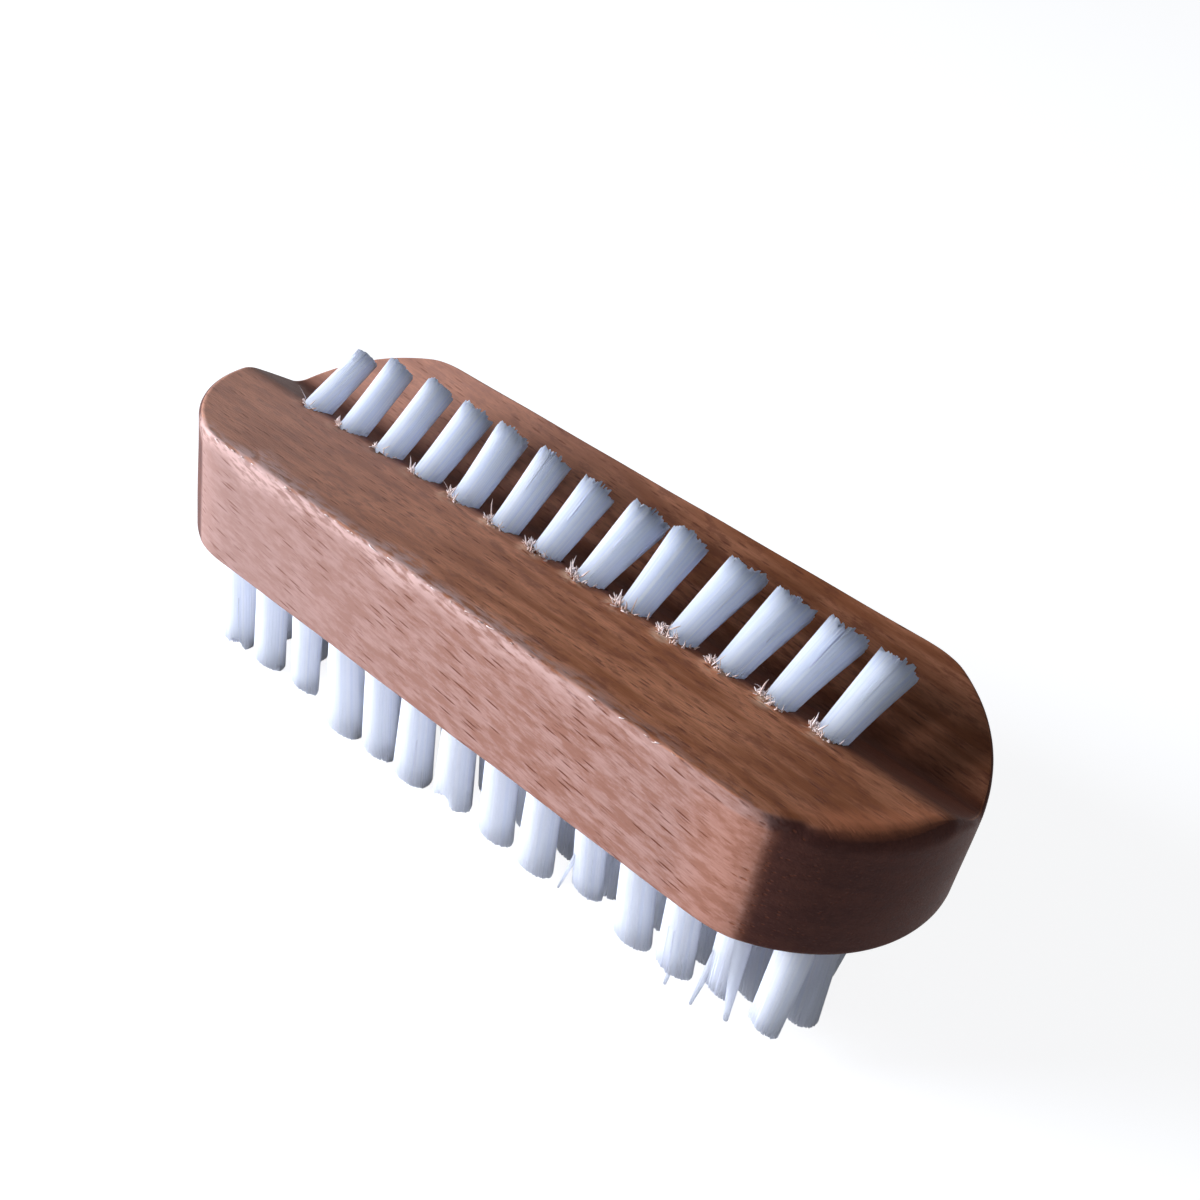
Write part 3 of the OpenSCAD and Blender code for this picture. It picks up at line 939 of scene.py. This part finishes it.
def hand_tuft(x, y, width, lean, away, shorter, worn, bite=None):
    """One hand tuft: its tight body and its loose filaments. Its end is cut back by the worn
    slope on the near side, and a bite is a dip in its end."""

    def length_at(places):
        reach = np.linalg.norm(places, axis=1) / HAND_HOLE_RADIUS
        lengths = HAND_LENGTH - shorter - 0.08 * reach**4 + 0.25 * places[:, 0]
        lengths = lengths - worn * np.maximum(places[:, 1], -0.5)
        if bite:
            place, half_width, depth = bite
            from_bite = (places[:, 0] - place) / half_width
            lengths = lengths - depth * np.clip(1.4 - from_bite**2, 0, 1)
        return lengths

    # The tuft's second direction across runs against y
    aim = np.array([lean, -away])
    mouth = (x, y, UNDERSIDE)
    body = packed_body(
        mouth,
        HAND_AXIS,
        HAND_HOLE_RADIUS,
        width / 2 - 0.02,
        aim,
        lambda places: length_at(places) - 0.05,
        flutes=HAND_FLUTES,
        split=0.15,
        ragged=0.15,
    )
    seats = seat_points(HAND_FILAMENTS, HAND_HOLE_RADIUS - HAND_SEAT_INSET)
    push, short = clumped(seats, HAND_HOLE_RADIUS, 0.05)
    tips = seats * ((width / 2 - HAND_TIP_INSET) / HAND_HOLE_RADIUS) + push
    tips = tips + rng.normal(0, 0.03, seats.shape) + aim
    lengths = length_at(seats) - 0.12 * short - rng.uniform(0, 0.1, len(seats))
    paths = bundle_paths(mouth, HAND_AXIS, seats, tips, lengths, HAND_LOOSE_SHARE)
    return body, loose_filaments(paths, HAND_FILAMENT_RADIUS)


# Bunches that hang out of the near row: x and z where each starts inside its tuft,
# x and z of its tip, and its width at the start
STRAYS = (
    (17.6, 13.0, 15.2, 1.6, 0.9),
    (30.0, 9.0, 29.6, 0.1, 1.3),
    (34.3, 13.0, 32.8, 0.1, 1.4),
    (35.2, 15.8, 36.7, 1.5, 2.4),
)
STRAY_LINES = 14
# They lean out of the near row from this far before its middle to this far
STRAY_START_REACH = 0.4
STRAY_TIP_REACH = 1.0


def stray_bunches():
    """Pointed bunches of filaments that have parted from the sides of their tufts."""
    parts = []
    turn = np.arange(STRAY_LINES) * 2 * math.pi / STRAY_LINES
    circle = np.stack([np.cos(turn), np.sin(turn)], axis=1)
    shares = np.array([0.0, 0.35, 0.7, 0.9, 1.0])
    for x, z, tip_x, tip_z, width in STRAYS:
        start = np.array([x, hand_y[0] - STRAY_START_REACH, z])
        tip = np.array([tip_x, hand_y[0] - STRAY_TIP_REACH, tip_z])
        paths = start + shares[None, :, None] * (tip - start)[None, None]
        paths = np.repeat(paths, len(circle), axis=0)
        taper = width / 2 * (1 - 0.8 * shares) + 0.03
        paths[:, :, :2] += circle[:, None] * taper[None, :, None]
        points, faces = loft(paths)
        parts.append((points, faces, np.full(len(points), 0.3)))
    return parts


def near_row_tuft(i):
    """Width, lean, lean across, shortening and bite of a tuft of the near row."""
    bites = {0: (1.0, 0.5, 1.0), 6: (0.1, 0.8, 1.3)}
    return *NEAR_ROW[i], bites.get(i)


def further_tuft(row, i):
    """The same for a tuft further in, which differs by chance. The last ones lean inwards."""
    width, lean, away = rng.uniform(3.7, 4.1), rng.normal(1.4, 0.2), rng.normal(0, 0.2)
    shorter = rng.uniform(0, 0.4)
    if i == HAND_COUNT - 1:
        lean, shorter = (0.4, 1.5) if row == 1 else (-1.4, 2.6)
    return width, lean, away, shorter, None


def build_hand_rows():
    """The field of hand tufts: two pieces to a row, which take the place of its node."""
    # Use has worn the outer sides of the near and the far row
    worn_slopes = {0: 0.5, ROW_COUNT - 1: -0.3}
    for row in range(ROW_COUNT):
        bodies, loose = [], []
        worn = worn_slopes.get(row, 0.05)
        for i, x in enumerate(hand_x):
            form = near_row_tuft(i) if row == 0 else further_tuft(row, i)
            width, lean, away, shorter, bite = form
            body, filaments = hand_tuft(x, hand_y[row], width, lean, away, shorter, worn, bite)
            bodies.append(body)
            loose.append(filaments)
        node = f"hand_row_{row + 1}"
        tuft_piece(f"{node}_bundles", node, bodies, HAND_NYLON)
        tuft_piece(f"{node}_filaments", node, loose, HAND_TIPS)
    tuft_piece("stray_bunches", "hand_row_1", stray_bunches(), HAND_NYLON)


def finish_anchors():
    """The wire anchors keep their CAD solids, in galvanised wire."""
    hand_anchors = [f"hand_row_{row + 1}_anchors" for row in range(ROW_COUNT)]
    for name in ["nail_row_anchors"] + hand_anchors:
        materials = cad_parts[name].data.materials
        materials.clear()
        materials.append(WIRE)


build_block()
build_splinters()
build_nail_tufts()
build_hand_rows()
finish_anchors()


# Stage, light and camera


def shows(tree):
    """1 where a surface is seen, straight or mirrored or through glass, and 0 where it lights."""
    seen = add(tree, "LightPath", out="Is Camera Ray")
    mirrored = add(tree, "LightPath", out="Is Glossy Ray")
    through = add(tree, "LightPath", out="Is Transmission Ray")
    seen = add(tree, "Math", LARGER, {0: seen, 1: mirrored})
    return add(tree, "Math", LARGER, {0: seen, 1: through})


FLOOR_REACH = 4000


def build_stage():
    """A pale floor under the tufts that keeps the brush's soft shadow."""
    mesh = bpy.data.meshes.new("floor")
    reach = FLOOR_REACH * MM
    corners = [(-reach, -reach, 0), (reach, -reach, 0), (reach, reach, 0), (-reach, reach, 0)]
    mesh.from_pydata(corners, [], [(0, 1, 2, 3)])
    floor = bpy.data.objects.new("floor", mesh)
    bpy.context.collection.objects.link(floor)
    material, tree = new_material("pale_floor")
    matt = add(tree, "BsdfDiffuse", None, {"Color": (0.4, 0.4, 0.4, 1.0)})
    white = add(tree, "Emission", None, {"Color": (1.0, 1.0, 1.0, 1.0), "Strength": 0.88})
    lit = add(tree, "AddShader", None, {0: matt, 1: white})
    # Light that comes up from under the brush has left a plain pale table
    table = add(tree, "BsdfDiffuse", None, {"Color": (0.8, 0.8, 0.8, 1.0)})
    surface = add(tree, "MixShader", None, {0: shows(tree), 1: table, 2: lit})
    add(tree, "OutputMaterial", None, {"Surface": surface})
    mesh.materials.append(material)


def build_world():
    """White to the camera, to reflections and through glass, and a weak fill on the brush."""
    world = bpy.data.worlds.new("studio")
    world.use_nodes = True
    tree = world.node_tree
    tree.nodes.clear()
    fill = add(tree, "Background", None, {"Color": (0.84, 0.94, 1.16, 1.0), "Strength": 0.12})
    white = add(tree, "Background", None, {"Color": (1.0, 1.0, 1.0, 1.0), "Strength": 1.0})
    surface = add(tree, "MixShader", None, {0: shows(tree), 1: fill, 2: white})
    add(tree, "OutputWorld", None, {"Surface": surface})
    bpy.context.scene.world = world


# The window, low on the left: where its light comes from, its width, and its cool colour
WINDOW_PLACE = Vector((-563, -416, 172))
WINDOW_SIZE = 416
WINDOW_WATTS = 10.6
WINDOW_COLOUR = (0.88, 0.96, 1.14)


def build_window():
    """A soft disk lamp that faces the middle of the brush."""
    lamp = bpy.data.lights.new("window", "AREA")
    lamp.shape = "DISK"
    lamp.size = WINDOW_SIZE * MM
    lamp.energy = WINDOW_WATTS
    lamp.color = WINDOW_COLOUR
    piece = bpy.data.objects.new("window", lamp)
    piece.location = WINDOW_PLACE * MM
    facing = Vector((0, 0, 22)) - WINDOW_PLACE
    piece.rotation_euler = facing.to_track_quat("-Z", "Y").to_euler()
    bpy.context.collection.objects.link(piece)


def build_camera():
    """The photograph's viewpoint, worked out from the block's edges."""
    camera = bpy.data.cameras.new("camera")
    camera.sensor_width = 36
    camera.lens = 42.91
    camera.shift_x = -0.0009
    camera.shift_y = 0.018
    camera.clip_start = 0.01
    piece = bpy.data.objects.new("camera", camera)
    piece.location = (71.52 * MM, -97.05 * MM, 105.95 * MM)
    piece.rotation_euler = [math.radians(angle) for angle in (54.508, -9.83, 41.04)]
    bpy.context.collection.objects.link(piece)
    bpy.context.scene.camera = piece


build_stage()
build_world()
build_window()
build_camera()
bpy.context.scene.view_settings.view_transform = "Standard"
